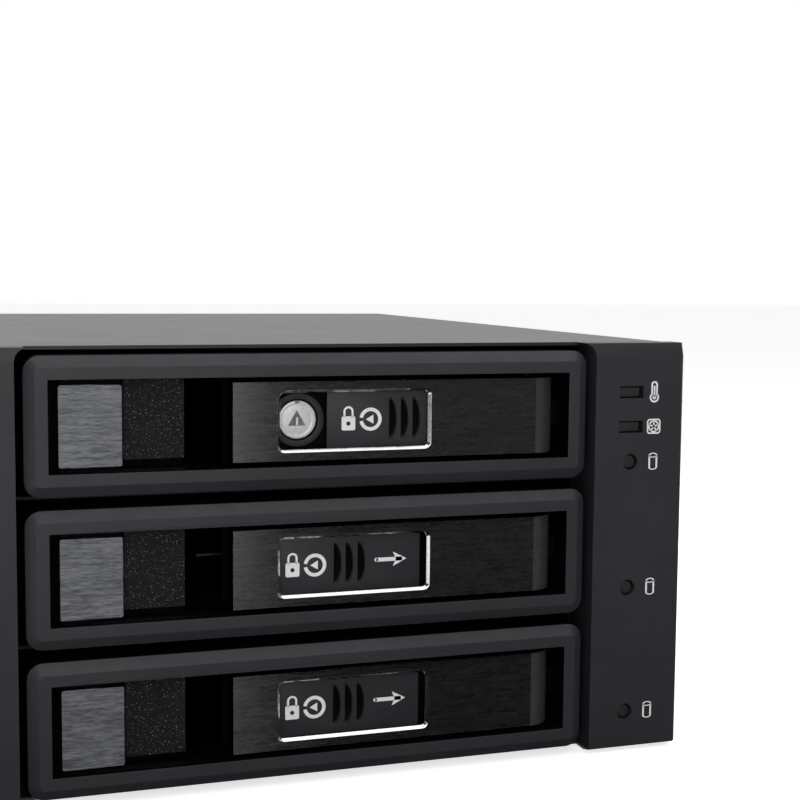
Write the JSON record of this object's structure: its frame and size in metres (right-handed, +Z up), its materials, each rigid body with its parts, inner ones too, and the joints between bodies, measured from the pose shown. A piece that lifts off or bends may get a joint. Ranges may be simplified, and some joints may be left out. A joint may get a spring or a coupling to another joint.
{
  "type": "hot swap drive cage",
  "caption": "Front-loading hot swap cage for 3.5 inch drives: latched, key-locked trays that slide in a steel shell, status lamps beside them, and a backplane and fan behind.",
  "frame": {"origin": "middle of the underside, on the surface the cage stands on", "axes": "+X to the right seen from the front, +Y from the front to the back, +Z up; the trays come out towards -Y"},
  "size_m": [0.148, 0.2056, 0.0846],
  "materials": {
    "case_steel": "satin",
    "guide_plastic": "satin",
    "pillar_plastic": "fine moulded grain",
    "lens": "clear",
    "board": "solder mask",
    "screw_steel": "satin",
    "socket_plastic": "satin",
    "port_plastic": "satin",
    "fan_plastic": "satin",
    "guard_steel": "satin",
    "bezel_plastic": "fine moulded grain",
    "carrier_plastic": "satin",
    "cap_aluminium": "brushed",
    "filter_foam": "open mesh",
    "pin_steel": "ground",
    "lever_aluminium": "brushed and dark anodised",
    "lever_plastic": "satin",
    "cover_plastic": "satin",
    "lock_metal": "polished"
  },
  "bodies": {
    "cage": {"case_shell": "case_steel", "base_plate": "case_steel", "inner_wall_left": "case_steel", "inner_wall_right": "case_steel", "tray_guides_left": "guide_plastic", "tray_guides_right": "guide_plastic", "pillar_left": "pillar_plastic", "pillar_right": "pillar_plastic", "divider_shelf_upper": "case_steel", "divider_shelf_lower": "case_steel", "heat_lamp_lens": "lens", "fan_lamp_lens": "lens", "drive_lamp_lens_1": "lens", "drive_lamp_lens_2": "lens", "drive_lamp_lens_3": "lens", "lamp_board": "board", "backplane_board": "board", "backplane_screws": "screw_steel", "drive_socket_1": "socket_plastic", "drive_socket_2": "socket_plastic", "drive_socket_3": "socket_plastic", "data_port_1": "socket_plastic", "data_port_2": "socket_plastic", "data_port_3": "socket_plastic", "power_port_lower": "port_plastic", "power_port_upper": "port_plastic", "rear_panel": "case_steel", "fan_frame": "fan_plastic", "fan_guard": "guard_steel", "fan_screws": "screw_steel", "case_screws": "screw_steel"},
    "rotor": {"fan_rotor": "fan_plastic"},
    "tray_1": {"tray_bezel_1": "bezel_plastic", "tray_carrier_1": "carrier_plastic", "brushed_cap_1": "cap_aluminium", "air_filter_1": "filter_foam", "lever_pin_1": "pin_steel"},
    "lever_1": {"lever_face_1": "lever_aluminium", "lever_body_1": "lever_plastic"},
    "cover_1": {"slide_cover_1": "cover_plastic"},
    "lock_1": {"lock_core_1": "lock_metal"},
    "tray_2": {"tray_bezel_2": "bezel_plastic", "tray_carrier_2": "carrier_plastic", "brushed_cap_2": "cap_aluminium", "air_filter_2": "filter_foam", "lever_pin_2": "pin_steel"},
    "lever_2": {"lever_face_2": "lever_aluminium", "lever_body_2": "lever_plastic"},
    "cover_2": {"slide_cover_2": "cover_plastic"},
    "lock_2": {"lock_core_2": "lock_metal"},
    "tray_3": {"tray_bezel_3": "bezel_plastic", "tray_carrier_3": "carrier_plastic", "brushed_cap_3": "cap_aluminium", "air_filter_3": "filter_foam", "lever_pin_3": "pin_steel"},
    "lever_3": {"lever_face_3": "lever_aluminium", "lever_body_3": "lever_plastic"},
    "cover_3": {"slide_cover_3": "cover_plastic"},
    "lock_3": {"lock_core_3": "lock_metal"}
  },
  "joints": [
    {"name": "fan_spin", "type": "hinge", "parent": "cage", "child": "rotor", "pos_m": [-0.00275, 0.087, 0.0423], "axis": [0, 1, 0], "continuous": true},
    {"name": "tray_slide_1", "type": "slide", "parent": "cage", "child": "tray_1", "axis": [0, -1, 0], "range_m": [0, 0.16]},
    {"name": "lever_swing_1", "type": "hinge", "parent": "tray_1", "child": "lever_1", "pos_m": [0.0412, -0.0965, 0.0702], "axis": [0, 0, 1], "range_deg": [0, 65]},
    {"name": "cover_slide_1", "type": "slide", "parent": "lever_1", "child": "cover_1", "axis": [1, 0, 0], "range_m": [-0.011, 0]},
    {"name": "key_turn_1", "type": "hinge", "parent": "lever_1", "child": "lock_1", "pos_m": [-0.007, -0.0964, 0.0702], "axis": [0, 1, 0], "range_deg": [0, 90]},
    {"name": "tray_slide_2", "type": "slide", "parent": "cage", "child": "tray_2", "axis": [0, -1, 0], "range_m": [0, 0.16]},
    {"name": "lever_swing_2", "type": "hinge", "parent": "tray_2", "child": "lever_2", "pos_m": [0.0412, -0.0965, 0.0422], "axis": [0, 0, 1], "range_deg": [0, 65]},
    {"name": "cover_slide_2", "type": "slide", "parent": "lever_2", "child": "cover_2", "axis": [1, 0, 0], "range_m": [0, 0.011]},
    {"name": "key_turn_2", "type": "hinge", "parent": "lever_2", "child": "lock_2", "pos_m": [-0.007, -0.0964, 0.0422], "axis": [0, 1, 0], "range_deg": [0, 90]},
    {"name": "tray_slide_3", "type": "slide", "parent": "cage", "child": "tray_3", "axis": [0, -1, 0], "range_m": [0, 0.16]},
    {"name": "lever_swing_3", "type": "hinge", "parent": "tray_3", "child": "lever_3", "pos_m": [0.0412, -0.0965, 0.0142], "axis": [0, 0, 1], "range_deg": [0, 65]},
    {"name": "cover_slide_3", "type": "slide", "parent": "lever_3", "child": "cover_3", "axis": [1, 0, 0], "range_m": [0, 0.011]},
    {"name": "key_turn_3", "type": "hinge", "parent": "lever_3", "child": "lock_3", "pos_m": [-0.007, -0.0964, 0.0142], "axis": [0, 1, 0], "range_deg": [0, 90]}
  ]
}
